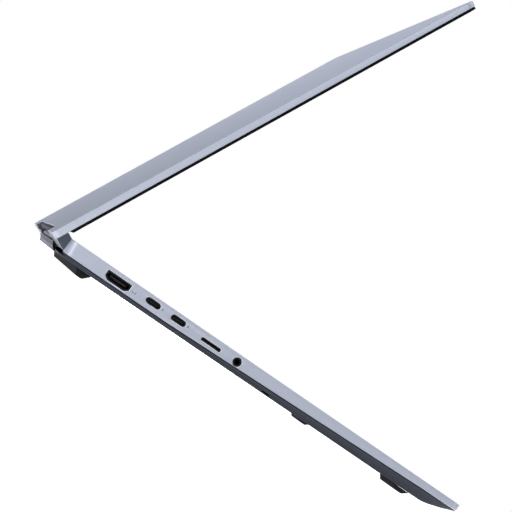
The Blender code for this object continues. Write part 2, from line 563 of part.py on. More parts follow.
def make_lid_hinges():
    look = ((0.22, 0.25, 0.30), 0.42, 0.6)
    for side, sx in (("left", -1), ("right", 1)):
        a, b = sorted((sx * LEG_X, sx * COVER_X))
        cover = lid_along_x(f"hinge_cover_{side}", u_profile(3.95, 3.5, 3.7, 5.15), a, b, look)
        boolean(cover, lid_along_x("hollow", u_profile(3.1, 2.75, 2.85, 8.0), a + 0.8, b - 0.8))
        c, d = sorted((sx * 137.4, sx * 148.6))
        boolean(cover, lid_box("notch", c, d, -8, 8, -8, 2.9))
        c, d = sorted((sx * 125, sx * 137))
        arm = lid_box(f"lid_hinge_bracket_{side}", c, d, -1.1, 1.1, 0.5, 8.2, STEEL)
        boolean(arm, rod("barrel", "X", (AXIS_Y, AXIS_Z), 2.4, c, d), "UNION")
        e, f = sorted((sx * 123, sx * 150))
        boolean(arm, lid_box("leaf", e, f, -1.1, 27, 7.3, 8.15), "UNION")
        boolean(arm, rod("bore", "X", (AXIS_Y, AXIS_Z), 1.26, c - 1, d + 1))
        c, d = sorted((sx * 122.5, sx * 150.5))
        rod(f"hinge_pin_{side}", "X", (AXIS_Y, AXIS_Z), 1.2, c, d, 16, STEEL)
    spine = [(3.5 * math.cos(math.radians(a)), 3.5 * math.sin(math.radians(a))) for a in range(75, 386, 18)]
    spine = spine + [(3.2, 5.15), (0.9, 5.15)]
    lid_along_x("hinge_spine", spine, -LEG_X + 0.4, LEG_X - 0.4, ((0.42, 0.44, 0.50), 0.4, 0.9))


LID_NODES = ["lid_cover", "antenna_strip", "display_bezel", "display_panel", "webcam_module", "hinge_spine",
             "hinge_cover_left", "lid_hinge_bracket_left", "hinge_pin_left",
             "hinge_cover_right", "lid_hinge_bracket_right", "hinge_pin_right"]


def pivots():
    """Node to the point, in mm, where its object's origin sits: on its joint axis if it moves."""
    points = {name: (0, AXIS_Y, AXIS_Z) for name in LID_NODES}
    for name, caps in key_rows().items():
        points[name] = ((caps[0][0] + caps[-1][1]) / 2, (caps[0][2] + caps[0][3]) / 2, KEY_TOP)
    points["power_button"] = (132.9, 217.5, KEY_TOP)
    points["touchpad"] = (0, 57, -0.12)
    points["fan_rotor_left"], points["fan_rotor_right"] = (-FAN_X, FAN_Y, -7.3), (FAN_X, FAN_Y, -7.3)
    return points


def settle():
    """Moves origins to the joint axes, opens the lid and stands the base on its feet."""
    slope = Matrix.Rotation(math.radians(SLOPE_DEG), 4, "X")
    slope = Matrix.Translation((0, -SHIFT_Y * MM, REST_Z * MM)) @ slope
    opened = Matrix.Rotation(math.radians(-OPEN_DEG), 4, "X")
    points = pivots()
    for obj in PARTS.objects:
        p = [c * MM for c in points.get(obj.name, (0, 0, 0))]
        obj.data.transform(Matrix.Translation([-c for c in p]))
        obj.data.shade_smooth()
        obj.data.set_sharp_from_angle(angle=math.radians(32))
        turn = opened if obj.name in LID_NODES else Matrix.Identity(4)
        obj.matrix_world = slope @ Matrix.Translation(p) @ turn


make_top_case()
make_bottom_cover()
make_rear_grille()
make_feet()
make_keyboard()
make_touchpad()
make_ports()
make_inside()
make_base_hinges()
make_lid()
make_lid_hinges()
settle()
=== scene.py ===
"""Looks of the open laptop computer: finishes, key caps, screws, connector contacts, floor, lights, camera.

Base pieces are built in the deck's frame in millimetres: x across, y from the front edge to the hinge,
z up from the deck. Lid pieces are built in the lid's frame: u from the hinge axis to the free edge,
w from the axis towards the outer face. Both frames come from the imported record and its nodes.
"""

import json
import math

import bmesh
import bpy
from mathutils import Matrix, Quaternion, Vector


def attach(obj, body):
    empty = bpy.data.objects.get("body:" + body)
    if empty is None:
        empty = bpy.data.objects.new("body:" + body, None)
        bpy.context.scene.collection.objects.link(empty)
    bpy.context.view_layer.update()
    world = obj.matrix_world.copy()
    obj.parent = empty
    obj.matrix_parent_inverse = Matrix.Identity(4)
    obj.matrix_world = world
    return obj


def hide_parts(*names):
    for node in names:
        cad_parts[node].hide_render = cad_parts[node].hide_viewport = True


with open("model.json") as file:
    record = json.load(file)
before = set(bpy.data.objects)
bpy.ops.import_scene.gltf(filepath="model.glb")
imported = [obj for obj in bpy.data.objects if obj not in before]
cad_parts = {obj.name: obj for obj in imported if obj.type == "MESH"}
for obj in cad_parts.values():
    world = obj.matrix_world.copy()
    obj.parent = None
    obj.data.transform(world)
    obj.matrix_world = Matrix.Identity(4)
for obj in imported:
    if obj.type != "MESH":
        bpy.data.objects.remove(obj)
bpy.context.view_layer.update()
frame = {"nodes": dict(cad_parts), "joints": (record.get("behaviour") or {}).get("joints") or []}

MM = 0.001
NODES = frame["nodes"]
JOINTS = {joint["name"]: joint for joint in frame["joints"]}


# ---------------------------------------------------------------- frames

def slope():
    """Turn from the table to the deck, which falls a little towards the front."""
    down = JOINTS["space_bar_press"]["axis"]
    return Matrix.Rotation(math.atan2(down[1], -down[2]), 4, "X")


def box_in(node, place):
    """Lowest and highest corner of a node, measured in a frame."""
    back = place.inverted()
    points = [back @ v.co for v in NODES[node].data.vertices]
    return (Vector(min(p[i] for p in points) for i in range(3)),
            Vector(max(p[i] for p in points) for i in range(3)))


def deck_frame():
    """(x, y, z) in mm to metres, with the origin in the middle of the deck's front edge."""
    low, high = box_in("top_case", slope())
    return slope() @ Matrix.Translation((0, low.y, high.z)) @ Matrix.Scale(MM, 4)


def lid_frame():
    """(x, -u, w) in mm to metres, with the origin on the hinge axis."""
    hinge = JOINTS["lid_hinge"]
    opened = Matrix.Rotation(math.radians(hinge["range_deg"][0]), 4, "X")
    return Matrix.Translation(hinge["pos_m"]) @ slope() @ opened @ Matrix.Scale(MM, 4)


DECK, LID = deck_frame(), lid_frame()


# ---------------------------------------------------------------- node materials

METAL_DRIFT_MM, METAL_SMUDGE_MM = 60, 14
PLASTIC_DRIFT_MM, PLASTIC_WEAR_MM = 22, 5
CHIP_MM, TRACK_MM, PIXEL_MM, SCREEN_SMEAR_MM = 3.0, 7, 0.45, 30


def setup(node, **settings):
    """Sets properties or inputs of a node, where an underscore stands for a space in an input's name."""
    for key, value in settings.items():
        if hasattr(node, key):
            setattr(node, key, value)
        else:
            node.inputs[key.replace("_", " ")].default_value = value
    return node


def adder(tree):
    """A function that adds a node to a tree and sets it up."""
    return lambda kind, **settings: setup(tree.nodes.new(kind), **settings)


def material(name):
    """A node material, its tree, its shader and the function that adds nodes to it."""
    made = bpy.data.materials.new(name)
    made.use_nodes = True
    tree = made.node_tree
    return made, tree, tree.nodes["Principled BSDF"], adder(tree)


def noise(tree, add, size_mm, detail=2.0, stretch=(1, 1, 1)):
    """Noise in the object's own space whose features are about size_mm across, stretched along an axis."""
    where = add("ShaderNodeTexCoord")
    scale = add("ShaderNodeMapping", Scale=[1 / s for s in stretch])
    texture = add("ShaderNodeTexNoise", Scale=1 / (size_mm * MM), Detail=detail, Roughness=0.55)
    tree.links.new(where.outputs["Object"], scale.inputs["Vector"])
    tree.links.new(scale.outputs["Vector"], texture.inputs["Vector"])
    return texture.outputs["Fac"]


def ramp(tree, add, fac, low, high, a, b):
    """Maps fac from low..high to a..b, where a and b are numbers or colours."""
    if isinstance(a, tuple):
        node = add("ShaderNodeValToRGB")
        first, last = node.color_ramp.elements
        first.position, last.position = low, high
        first.color, last.color = (*a, 1), (*b, 1)
        tree.links.new(fac, node.inputs["Fac"])
        return node.outputs["Color"]
    node = add("ShaderNodeMapRange", From_Min=low, From_Max=high, To_Min=a, To_Max=b)
    tree.links.new(fac, node.inputs["Value"])
    return node.outputs["Result"]


def bump(tree, add, shader, height, depth_mm, strength):
    node = add("ShaderNodeBump", Strength=strength, Distance=depth_mm * MM)
    tree.links.new(height, node.inputs["Height"])
    tree.links.new(node.outputs["Normal"], shader.inputs["Normal"])


def drifting_tone(tree, add, shader, tone, spread, size_mm):
    """A base colour that drifts slowly, by spread of its tone to either side."""
    darker = tuple(c * (1 - spread) for c in tone)
    lighter = tuple(min(1.0, c * (1 + spread)) for c in tone)
    drift = noise(tree, add, size_mm, 3.0)
    tree.links.new(ramp(tree, add, drift, 0.3, 0.7, darker, lighter), shader.inputs["Base Color"])


def uneven_gloss(tree, add, shader, size_mm, span, smooth, rough):
    """Roughness between two values, in patches about size_mm across, as the noise crosses a span."""
    patches = noise(tree, add, size_mm, 4.0)
    tree.links.new(ramp(tree, add, patches, *span, smooth, rough), shader.inputs["Roughness"])


def metal(name, tone, rough, grain_mm=0.18, metallic=1.0, spread=0.05, stretch=(1, 1, 1), depth=0.004,
          smear=0.04, specular=0.5):
    """Anodised or brushed metal: blasted grain, a slow drift of tone, and handling marks in the gloss."""
    made, tree, shader, add = material(name)
    drifting_tone(tree, add, shader, tone, spread, METAL_DRIFT_MM)
    uneven_gloss(tree, add, shader, METAL_SMUDGE_MM, (0.35, 0.75), rough - smear, rough + smear)
    bump(tree, add, shader, noise(tree, add, grain_mm, 2.0, stretch), depth, 0.6)
    setup(shader, Metallic=metallic, Specular_IOR_Level=specular)
    return made


def plastic(name, tone, rough, grain_mm=0.3, depth=0.012, spread=0.12, specular=0.5, coat=0.0):
    """Moulded plastic, rubber or a lacquer with a fine eroded texture."""
    made, tree, shader, add = material(name)
    drifting_tone(tree, add, shader, tone, spread, PLASTIC_DRIFT_MM)
    uneven_gloss(tree, add, shader, PLASTIC_WEAR_MM, (0.35, 0.7), rough - 0.05, rough + 0.06)
    bump(tree, add, shader, noise(tree, add, grain_mm, 3.0), depth, 0.7)
    setup(shader, Specular_IOR_Level=specular, Coat_Weight=coat, Coat_Roughness=0.06)
    return made


def circuit(name, tone, line):
    """Solder mask with rows of small parts and copper lines under it."""
    made, tree, shader, add = material(name)
    where = add("ShaderNodeTexCoord")
    cells = add("ShaderNodeTexVoronoi", distance="CHEBYCHEV", Scale=1 / (CHIP_MM * MM))
    brick = add("ShaderNodeTexBrick", Scale=1 / (TRACK_MM * MM), Color1=(*tone, 1),
                Color2=(*[c * 1.5 for c in tone], 1), Mortar=(*line, 1), Mortar_Size=0.03)
    tree.links.new(where.outputs["Object"], cells.inputs["Vector"])
    tree.links.new(where.outputs["Object"], brick.inputs["Vector"])
    tree.links.new(brick.outputs["Color"], shader.inputs["Base Color"])
    bump(tree, add, shader, cells.outputs["Distance"], 0.25, 0.8)
    setup(shader, Roughness=0.45)
    return made


def screen(name):
    """Dark glass over a panel: the faint grid of the pixels under a clear coat."""
    made, tree, shader, add = material(name)
    where = add("ShaderNodeTexCoord")
    cells = add("ShaderNodeTexVoronoi", Scale=1 / (PIXEL_MM * MM))
    tree.links.new(where.outputs["Object"], cells.inputs["Vector"])
    tone = ramp(tree, add, cells.outputs["Distance"], 0.1, 0.8, (0.012, 0.0125, 0.015), (0.006, 0.006, 0.008))
    tree.links.new(tone, shader.inputs["Base Color"])
    uneven_gloss(tree, add, shader, SCREEN_SMEAR_MM, (0.4, 0.75), 0.28, 0.295)
    setup(shader, Coat_Weight=0.3, Coat_Roughness=0.14)
    return made


def paint_shade_on_faces(made, towards, tone, turned=(0.75, 0.9), x_reach=None):
    """Painted shade: darkens the faces turned towards a direction of the object, up to x_reach mm from its
    middle.

    turned holds the cosines where the paint starts and is full; falling cosines paint what is turned away.
    """
    tree = made.node_tree
    add, link, shader = adder(tree), tree.links.new, tree.nodes["Principled BSDF"]
    where, dot = add("ShaderNodeTexCoord"), add("ShaderNodeVectorMath", operation="DOT_PRODUCT")
    dot.inputs[1].default_value = towards
    link(where.outputs["Normal"], dot.inputs[0])
    share = ramp(tree, add, dot.outputs["Value"], *turned, 0.0, 1.0)
    if x_reach:
        split = add("ShaderNodeSeparateXYZ")
        across, inside, both = [add("ShaderNodeMath", operation=kind)
                                for kind in ("ABSOLUTE", "LESS_THAN", "MULTIPLY")]
        inside.inputs[1].default_value = x_reach * MM
        link(where.outputs["Object"], split.inputs["Vector"])
        link(split.outputs["X"], across.inputs[0])
        link(across.outputs["Value"], inside.inputs[0])
        link(inside.outputs["Value"], both.inputs[0])
        link(share, both.inputs[1])
        share = both.outputs["Value"]
    mix = add("ShaderNodeMix", data_type="RGBA", B=(*tone, 1))
    link(share, mix.inputs["Factor"])
    link(shader.inputs["Base Color"].links[0].from_socket, mix.inputs["A"])
    link(mix.outputs["Result"], shader.inputs["Base Color"])


# ---------------------------------------------------------------- finishes

ALUMINIUM = metal("satin_aluminium", (0.50, 0.525, 0.60), 0.38, metallic=0.82, spread=0.015, depth=0.0016,
                  smear=0.012)
LID_ALUMINIUM = metal("lid_aluminium", (0.535, 0.565, 0.645), 0.38, 0.12, metallic=0.80, spread=0.012,
                      depth=0.0006, smear=0.008)
CHAMFER = metal("cut_chamfer", (0.50, 0.53, 0.58), 0.30, 0.05, stretch=(8, 1, 1), depth=0.001)
RIM = metal("bright_rim", (0.93, 0.94, 0.97), 0.26, 0.05, depth=0.001, spread=0.02)
UNDERSIDE = metal("dark_underside", (0.050, 0.054, 0.074), 0.55, 0.3, metallic=0.0, spread=0.06, depth=0.004,
                  specular=0.10)
HINGE_PAINT = metal("hinge_paint", (0.062, 0.08, 0.102), 0.40, 0.2, metallic=0.6, spread=0.05)
HINGE_STRIP = plastic("hinge_strip_plastic", (0.035, 0.036, 0.045), 0.6, 0.2, 0.004, specular=0.06)
# the vent wall and the spine are the case's aluminium in a much darker tone: painted shade of the hinge
# recess
SHADED_GRILLE = metal("grille_aluminium_painted_shade", (0.17, 0.165, 0.215), 0.55, 0.2, metallic=0.1, spread=0.03, specular=0.15)
SHADED_SPINE = metal("spine_aluminium_painted_shade", (0.15, 0.145, 0.19), 0.55, 0.2, metallic=0.1, spread=0.03, specular=0.15)
STEEL = metal("brushed_steel", (0.55, 0.55, 0.57), 0.30, 0.12, stretch=(12, 1, 1))
BLACK_STEEL = metal("blackened_steel", (0.10, 0.10, 0.11), 0.32, 0.1, metallic=0.8)
SHELL = metal("connector_shell", (0.012, 0.012, 0.014), 0.5, 0.1, metallic=0.5)
FINS = metal("darkened_fins", (0.055, 0.05, 0.05), 0.45, 0.15, stretch=(10, 1, 1), metallic=0.8)
COPPER = metal("copper", (0.78, 0.42, 0.27), 0.30, 0.15, stretch=(10, 1, 1))
CONTACT = metal("contact_gold", (0.83, 0.60, 0.25), 0.25, 0.08, spread=0.08)
KEY = plastic("key_plastic", (0.030, 0.031, 0.035), 0.52, 0.22, 0.010)
RUBBER = plastic("rubber", (0.023, 0.023, 0.027), 0.8, 0.5, 0.02, specular=0.3)
BEZEL = plastic("bezel_plastic", (0.0025, 0.0025, 0.003), 0.5, 0.25, 0.006, specular=0.06)
BLACK = plastic("black_plastic", (0.008, 0.008, 0.009), 0.5, 0.3, 0.012, specular=0.3)
TONGUE = plastic("tongue_plastic", (0.11, 0.11, 0.12), 0.5, 0.2, 0.004)
FILM = plastic("battery_film", (0.03, 0.03, 0.033), 0.35, 0.8, 0.03, coat=0.3)
MARK = plastic("printed_mark", (0.07, 0.075, 0.09), 0.6, 0.1, 0.002, specular=0.1)
LENS = plastic("lens_glass", (0.004, 0.004, 0.008), 0.12, 1.0, 0.0005, coat=1.0)
PAD = metal("touchpad_glass", (0.54, 0.565, 0.64), 0.36, 0.16, metallic=0.70, spread=0.01, depth=0.0008,
            smear=0.004)
BOARD = circuit("circuit_board", (0.010, 0.035, 0.028), (0.16, 0.12, 0.05))
SCREEN = screen("dark_panel")

# tones of painted shade for the lid's end face and notch walls and for the inside of the vents, and how far
# from the middle that shade reaches
LID_END_SHADE_TONE, SLOT_SHADE_TONE = (0.10, 0.105, 0.13), (0.004, 0.004, 0.005)
LID_END_SHADE_REACH_MM, NOTCH_SHADE_REACH_MM = 176, 118.5
TO_HINGE = LID.to_3x3() @ Vector((0, 1 / MM, 0))
GRILLE_OUTWARDS = slope().to_3x3() @ Vector((0, 0.8, -0.6))

# painted shade on the lid's end face at the hinge, on both side walls of its notch, and inside the vents
paint_shade_on_faces(LID_ALUMINIUM, TO_HINGE, LID_END_SHADE_TONE, x_reach=LID_END_SHADE_REACH_MM)
for wall in (-1, 1):
    paint_shade_on_faces(LID_ALUMINIUM, (wall, 0, 0), LID_END_SHADE_TONE, x_reach=NOTCH_SHADE_REACH_MM)
paint_shade_on_faces(SHADED_GRILLE, GRILLE_OUTWARDS, SLOT_SHADE_TONE, turned=(0.7, 0.3))

FINISH = {
    "top_case": ALUMINIUM, "lid_cover": LID_ALUMINIUM, "bottom_cover": UNDERSIDE, "rear_grille": SHADED_GRILLE,
    "hinge_spine": SHADED_SPINE, "antenna_strip": HINGE_STRIP, "display_bezel": BEZEL, "display_panel": SCREEN,
    "webcam_module": BLACK, "touchpad": PAD, "keyboard_plate": BLACK_STEEL, "main_board": BOARD,
    "ssd_module": BOARD, "wireless_card": BOARD, "battery_pack": FILM, "heat_pipe": COPPER,
    "rear_foot": RUBBER, "audio_jack": BLACK, "memory_card_slot": SHELL,
}
FINISH_BY_START = {
    "hinge_cover": HINGE_PAINT, "front_foot": RUBBER, "video_port": SHELL, "type_": SHELL, "hinge_": STEEL,
    "lid_hinge": STEEL, "speaker": BLACK, "fan_": BLACK, "heat_sink": FINS, "bottom_screw": BLACK_STEEL,
}


def finish_of(node):
    """A node's own finish, else the one its name starts with, else that of the keys."""
    if node in FINISH:
        return FINISH[node]
    return next((look for start, look in FINISH_BY_START.items() if node.startswith(start)), KEY)


# ---------------------------------------------------------------- edges of the carried-over nodes

EDGE_MM = {  # node: (edge radius, whether the cut edge is polished)
    "top_case": (0.22, False), "lid_cover": (0.30, False), "bottom_cover": (0.25, False),
    "display_bezel": (0.15, False), "touchpad": (0.18, True), "hinge_cover_left": (0.24, True),
    "hinge_cover_right": (0.24, True), "rear_foot": (0.5, False), "front_foot_left": (0.5, False),
    "front_foot_right": (0.5, False), "rear_grille": (0.12, False), "hinge_spine": (0.2, False),
}
WELD_MM, WALL_DEPTH_MM = 0.002, 0.01
SHARP_DEG, CASE_SHARP_DEG, OPENING_SHARP_DEG = 32, 50, 30

PORTS = ("video_port", "type_c_port_rear", "type_c_port_front", "memory_card_slot", "audio_jack",
         "type_a_port_rear", "type_a_port_front")
WALL_CHAMFER_MM, PORT_REACH_MM = 0.30, 0.7


def edge_at(a, b):
    """The places of an edge's two ends, by which it is found again in another copy of the mesh."""
    return frozenset(tuple(round(c / MM, 2) for c in end) for end in (a, b))


def opening_edges(obj):
    """The sharp edges that lie in a side wall next to a port."""
    low, high = box_in(obj.name, Matrix.Identity(4))
    ports = [box_in(port, Matrix.Identity(4)) for port in PORTS]
    reach, depth = PORT_REACH_MM * MM, WALL_DEPTH_MM * MM

    def near(port, spot):
        a, b = port
        return (a.x * spot.x > 0 and a.y - reach < spot.y < b.y + reach
                and a.z - reach < spot.z < b.z + reach)

    bm = bmesh.new()
    bm.from_mesh(obj.data)
    bmesh.ops.remove_doubles(bm, verts=bm.verts, dist=WELD_MM * MM)
    found = set()
    for edge in bm.edges:
        a, b = (v.co for v in edge.verts)
        on_wall = min(a.x, b.x) > high.x - depth or max(a.x, b.x) < low.x + depth
        if (on_wall and any(near(port, (a + b) / 2) for port in ports)
                and edge.calc_face_angle(0.0) > math.radians(OPENING_SHARP_DEG)):
            found.add(edge_at(a, b))
    bm.free()
    return found


def chamfer_ports(obj):
    """A bright flat chamfer round the openings in the two side walls."""
    sharp = opening_edges(obj)
    places = [v.co for v in obj.data.vertices]
    weights = [float(edge_at(*(places[i] for i in edge.vertices)) in sharp) for edge in obj.data.edges]
    obj.data.attributes.new("bevel_weight_edge", "FLOAT", "EDGE").data.foreach_set("value", weights)
    obj.data.materials.append(RIM)
    cut = obj.modifiers.new("Wall chamfer", "BEVEL")
    cut.width, cut.segments, cut.limit_method = WALL_CHAMFER_MM * MM, 1, "WEIGHT"
    cut.use_clamp_overlap, cut.material = False, len(obj.data.materials) - 1


def soften(obj, radius_mm, polished):
    """Rounds the node's edges without changing its mesh."""
    is_case = obj.name == "top_case"
    weld = obj.modifiers.new("Weld", "WELD")
    weld.merge_threshold = WELD_MM * MM
    if is_case:
        chamfer_ports(obj)
    edge = obj.modifiers.new("Edge", "BEVEL")
    edge.width, edge.segments, edge.limit_method = radius_mm * MM, 2, "ANGLE"
    edge.angle_limit = math.radians(CASE_SHARP_DEG if is_case else SHARP_DEG)
    edge.use_clamp_overlap, edge.miter_outer = False, "MITER_ARC"
    if polished:
        obj.data.materials.append(CHAMFER)
        edge.material = len(obj.data.materials) - 1
    normals = obj.modifiers.new("Normals", "WEIGHTED_NORMAL")
    normals.keep_sharp, normals.weight = False, 50


def dress_nodes():
    """Gives every node its finish, and softened edges to those that show them."""
    for name, obj in NODES.items():
        obj.data.materials.clear()
        obj.data.materials.append(finish_of(name))
        if name in EDGE_MM:
            stored = obj.data.attributes.get("custom_normal")
            if stored:
                obj.data.attributes.remove(stored)
            obj.data.shade_smooth()
            soften(obj, *EDGE_MM[name])


# ---------------------------------------------------------------- making pieces

def piece(name, bm, look, place, body, replaced=(), smooth_deg=35):
    """Turns a mesh drawn in mm in one of the two frames into a piece that rides on a body."""
    bmesh.ops.transform(bm, matrix=place, verts=bm.verts)
    bmesh.ops.recalc_face_normals(bm, faces=bm.faces)
    mesh = bpy.data.meshes.new(name)
    bm.to_mesh(mesh)
    bm.free()
    mesh.materials.append(look)
    mesh.shade_smooth()
    mesh.set_sharp_from_angle(angle=math.radians(smooth_deg))
    obj = bpy.data.objects.new(name, mesh)
    bpy.context.scene.collection.objects.link(obj)
    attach(obj, body)
    if replaced:
        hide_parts(*replaced)


def rounded(x0, x1, y0, y1, r, steps=5):
    """Corner-rounded rectangle as points, anticlockwise from its left front corner."""
    points = []
    for cx, cy, start in ((x0 + r, y0 + r, 180), (x1 - r, y0 + r, 270), (x1 - r, y1 - r, 0),
                          (x0 + r, y1 - r, 90)):
        for i in range(steps + 1):
            a = math.radians(start + 90 * i / steps)
            points.append((cx + r * math.cos(a), cy + r * math.sin(a)))
    return points


def circle(cx, cy, radius, z, turns, lobe=0.0):
    """Ring of points at a height, whose radius swings six times by lobe."""
    angles = [2 * math.pi * i / turns for i in range(turns)]
    return [(cx + (radius + lobe * math.cos(6 * a)) * math.cos(a),
             cy + (radius + lobe * math.cos(6 * a)) * math.sin(a), z) for a in angles]


def stack(bm, rings):
    """Joins rings of equal length into one closed body."""
    loops = [[bm.verts.new(p) for p in ring] for ring in rings]
    for low, high in zip(loops, loops[1:]):
        for i, vert in enumerate(low):
            j = (i + 1) % len(low)
            bm.faces.new((vert, low[j], high[j], high[i]))
    bm.faces.new(list(reversed(loops[0])))
    bm.faces.new(loops[-1])


def shrunk(x0, x1, y0, y1, by):
    return x0 + by, x1 - by, y0 + by, y1 - by


# ---------------------------------------------------------------- keyboard

PITCH, GAP, CORNER = 19.0, 3.2, 1.3
KEY_FOOT, KEY_STEM = -1.95, 0.45
CAP_FOOT = ((0.05, 0.0), (0.0, 0.12))  # (inset, height above the key's foot)
CAP_RIM = ((0.14, 0.34), (0.20, 0.16), (0.32, 0.04), (0.50, 0.0))  # (inset, depth under the key's top)
DISH_SHARES = (0.25, 0.5, 0.75, 0.92)  # of the way from the rim to the middle
DISH_DEPTH, FLAT_DISH_DEPTH, FLAT_KEY = 0.16, 0.08, 9
STEM_HALF_WIDTH, STEM_HALF_DEPTH = 4.5, 4.0
ROW_UNITS = {
    "function_key_row": [1] * 14, "number_key_row": [1] * 13 + [2],
    "upper_letter_row": [1.5] + [1] * 12 + [1.5], "home_letter_row": [1.75] + [1] * 11 + [2.25],
    "lower_letter_row": [2.25] + [1] * 10 + [2.75], "left_modifier_keys": [1.5, 1, 1, 1.25],
    "space_bar": [5.25], "arrow_and_right_keys": [1] * 5, "power_button": [0],
}
HOME_KEYS = (4, 7)
SPLIT_KEY, SPLIT_GAP = 3, 1.2  # which arrow key is two half keys, and the gap between them
BAR_AHEAD, BAR_HALF_LENGTH, BAR_HALF_WIDTH = 2.6, 1.9, 0.32
BAR_PROFILE = ((0.0, -0.1), (0.03, 0.1), (0.1, 0.16))  # (inset, height above the dish)


def cap(bm, x0, x1, y0, y1, top):
    """One key: sloping sides, a rounded rim and a shallow dish, on a stem for its scissor."""
    sides = [(inset, KEY_FOOT + up) for inset, up in CAP_FOOT]
    sides += [(inset, top - down) for inset, down in CAP_RIM]
    rings = [[(x, y, z) for x, y in rounded(*shrunk(x0, x1, y0, y1, inset), CORNER)] for inset, z in sides]
    depth = DISH_DEPTH if y1 - y0 > FLAT_KEY else FLAT_DISH_DEPTH
    reach = min(x1 - x0, y1 - y0) / 2
    for share in DISH_SHARES:
        inset = 0.5 + (reach - 0.9) * share
        r = max(0.3, CORNER - inset * 0.1) * (1 - share * 0.7)
        z = top - depth * (1 - (1 - share) ** 2)
        rings.append([(x, y, z) for x, y in rounded(*shrunk(x0, x1, y0, y1, inset), r)])
    stack(bm, rings)
    cx, cy = (x0 + x1) / 2, (y0 + y1) / 2
    w, d = min(STEM_HALF_WIDTH, (x1 - x0) / 3), min(STEM_HALF_DEPTH, (y1 - y0) / 3)
    stack(bm, [[(x, y, z) for x, y in rounded(cx - w, cx + w, cy - d, cy + d, 0.6, 2)]
               for z in (KEY_FOOT - KEY_STEM, KEY_FOOT + 0.05)])


def home_bar(bm, x0, x1, y0, y1, top):
    """The short raised bar that the fingers find on two keys of the home row."""
    cx, cy, dish = (x0 + x1) / 2, y0 + BAR_AHEAD, top - 0.12
    bar = (cx - BAR_HALF_LENGTH, cx + BAR_HALF_LENGTH, cy - BAR_HALF_WIDTH, cy + BAR_HALF_WIDTH)
    stack(bm, [[(x, y, dish + up) for x, y in rounded(*shrunk(*bar, inset), 0.2, 3)]
               for inset, up in BAR_PROFILE])


def keys_of(row):
    """(x0, x1, y0, y1) of each key in a row, from the node's own box, and the height of their tops."""
    low, high = box_in(row, DECK)
    if row == "power_button":
        return [(low.x, high.x, low.y, high.y)], high.z
    x, keys = low.x - GAP / 2, []
    for i, units in enumerate(ROW_UNITS[row]):
        cell = (x + GAP / 2, x + units * PITCH - GAP / 2)
        if row == "arrow_and_right_keys" and i == SPLIT_KEY:
            half = (high.y - low.y - SPLIT_GAP) / 2
            keys += [(*cell, low.y, low.y + half), (*cell, high.y - half, high.y)]
        else:
            keys.append((*cell, low.y, high.y))
        x += units * PITCH
    return keys, high.z


def make_keyboard():
    for row in ROW_UNITS:
        bm = bmesh.new()
        keys, top = keys_of(row)
        for i, key in enumerate(keys):
            cap(bm, *key, top)
            if row == "home_letter_row" and i in HOME_KEYS:
                home_bar(bm, *key, top)
        piece(row + "_caps", bm, KEY, DECK, row, [row], 28)


# ---------------------------------------------------------------- screws

SCREW_TURNS = 36
DRIVE = ((0.9, 0.25, 0.16), (0.95, 0.04, 0.17), (1.05, 0.0, 0.16))  # (radius, height, lobe) of the recess
HEAD = ((0.3, 0.0), (0.08, 0.07), (0.0, 0.2), (0.0, 0.42))  # (inset from the head's radius, height)
SHANK_RADIUS, SHANK_START = 1.1, 0.5


def make_screws():
    """Countersunk heads on the underside with a six-lobed drive recess."""
    for side in ("left", "right"):
        for place in ("front", "middle", "rear"):
            node = f"bottom_screw_{place}_{side}"
            low, high = box_in(node, DECK)
            cx, cy, r = (low.x + high.x) / 2, (low.y + high.y) / 2, (high.x - low.x) / 2
            rings = [(radius, low.z + up, lobe) for radius, up, lobe in DRIVE]
            rings += [(r - inset, low.z + up, 0.0) for inset, up in HEAD]
            rings += [(SHANK_RADIUS, low.z + SHANK_START, 0.0), (SHANK_RADIUS, high.z, 0.0)]
            bm = bmesh.new()
            stack(bm, [circle(cx, cy, radius, z, SCREW_TURNS, lobe) for radius, z, lobe in rings])
            piece(node + "_star_head", bm, BLACK_STEEL, DECK, "base", [node])


# ---------------------------------------------------------------- connectors

CONTACTS = {  # port: count, pitch and length of its contacts, half the tongue's thickness and its lift, in mm
    "video_port": (9, 0.9, 4.0, 0.45, 0.1), "type_c_port_rear": (12, 0.5, 3.6, 0.35, 0.0),
    "type_c_port_front": (12, 0.5, 3.6, 0.35, 0.0), "type_a_port_rear": (4, 2.3, 6.0, 0.6, 0.0),
    "type_a_port_front": (4, 2.3, 6.0, 0.6, 0.0),
}
CONTACT_DEPTH, CONTACT_SHARE, CONTACT_SUNK, CONTACT_PROUD = 2.7, 0.24, 0.05, 0.04
TIP_AHEAD, TIP_MARGIN = 0.75, 0.35
TIP_PROFILE = ((-0.6, -0.06), (0.0, -0.06), (0.1, 0.04))  # (towards the opening, inset)


def make_contacts():
    """Gold contacts lying on both faces of each tongue, and the tongue's plastic tip ahead of them."""
    for port, (count, pitch, length, half, lift) in CONTACTS.items():
        low, high = box_in(port, DECK)
        side = 1 if low.x > 0 else -1
        start = (high.x if side > 0 else low.x) - side * CONTACT_DEPTH
        cy, cz = (low.y + high.y) / 2, (low.z + high.z) / 2 + lift
        x0, x1 = sorted((start, start - side * length))
        bm = bmesh.new()
        for i in range(count):
            y = cy + (i - (count - 1) / 2) * pitch
            outline = rounded(x0, x1, y - pitch * CONTACT_SHARE, y + pitch * CONTACT_SHARE, 0.08, 1)
            for face in (-1, 1):
                z = cz + face * half
                stack(bm, [[(a, b, h) for a, b in outline]
                           for h in sorted((z - face * CONTACT_SUNK, z + face * CONTACT_PROUD))])
        piece(port + "_contacts", bm, CONTACT, DECK, "base")
        reach, tip = count * pitch / 2 + TIP_MARGIN, start + side * TIP_AHEAD
        bm = bmesh.new()
        stack(bm, [[(tip + side * ahead, y, z)
                    for y, z in rounded(cy - reach, cy + reach, cz - half + inset, cz + half - inset, 0.1, 2)]
                   for ahead, inset in TIP_PROFILE])
        piece(port + "_tongue_tip", bm, TONGUE, DECK, "base")


# ---------------------------------------------------------------- lid details

LENS_TURNS = 32
LENS_PROFILE = ((0.85, 0.3), (0.85, -0.02), (0.75, -0.08), (0.45, -0.13), (0.15, -0.145))  # (radius, w)


